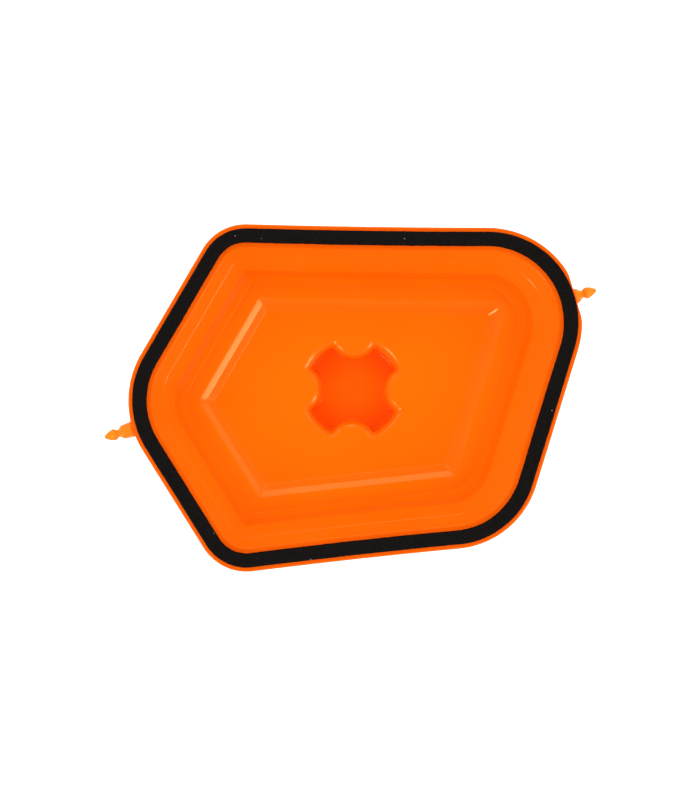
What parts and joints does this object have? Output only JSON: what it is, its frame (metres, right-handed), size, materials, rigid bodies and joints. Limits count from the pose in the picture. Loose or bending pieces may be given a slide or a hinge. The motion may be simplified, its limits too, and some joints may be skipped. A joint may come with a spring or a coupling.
{
  "type": "gasketed opening cover",
  "caption": "Five-sided dished orange cover with a black foam seal round its rim, a hollow four-lobed grip and barbed side pins.",
  "frame": {"origin": "middle of the flat outer end of the grip, on which the cover stands", "axes": "+Z towards the seal side, +X along the long straight side of the rim, +Y towards that side"},
  "size_m": [0.2917, 0.2069, 0.058],
  "materials": {
    "orange_plastic": "glossy injection-moulded orange plastic",
    "black_foam": "matte fine-celled black foam rubber",
    "adhesive_film": "thin pale double-sided adhesive film",
    "pin_plastic": "satin injection-moulded orange plastic, a little yellower than the shell"
  },
  "bodies": {
    "root": {"cover_shell": "orange_plastic", "foam_seal": "black_foam", "seal_adhesive": "adhesive_film", "retaining_pin_left": "pin_plastic", "retaining_pin_right": "pin_plastic"}
  },
  "joints": []
}
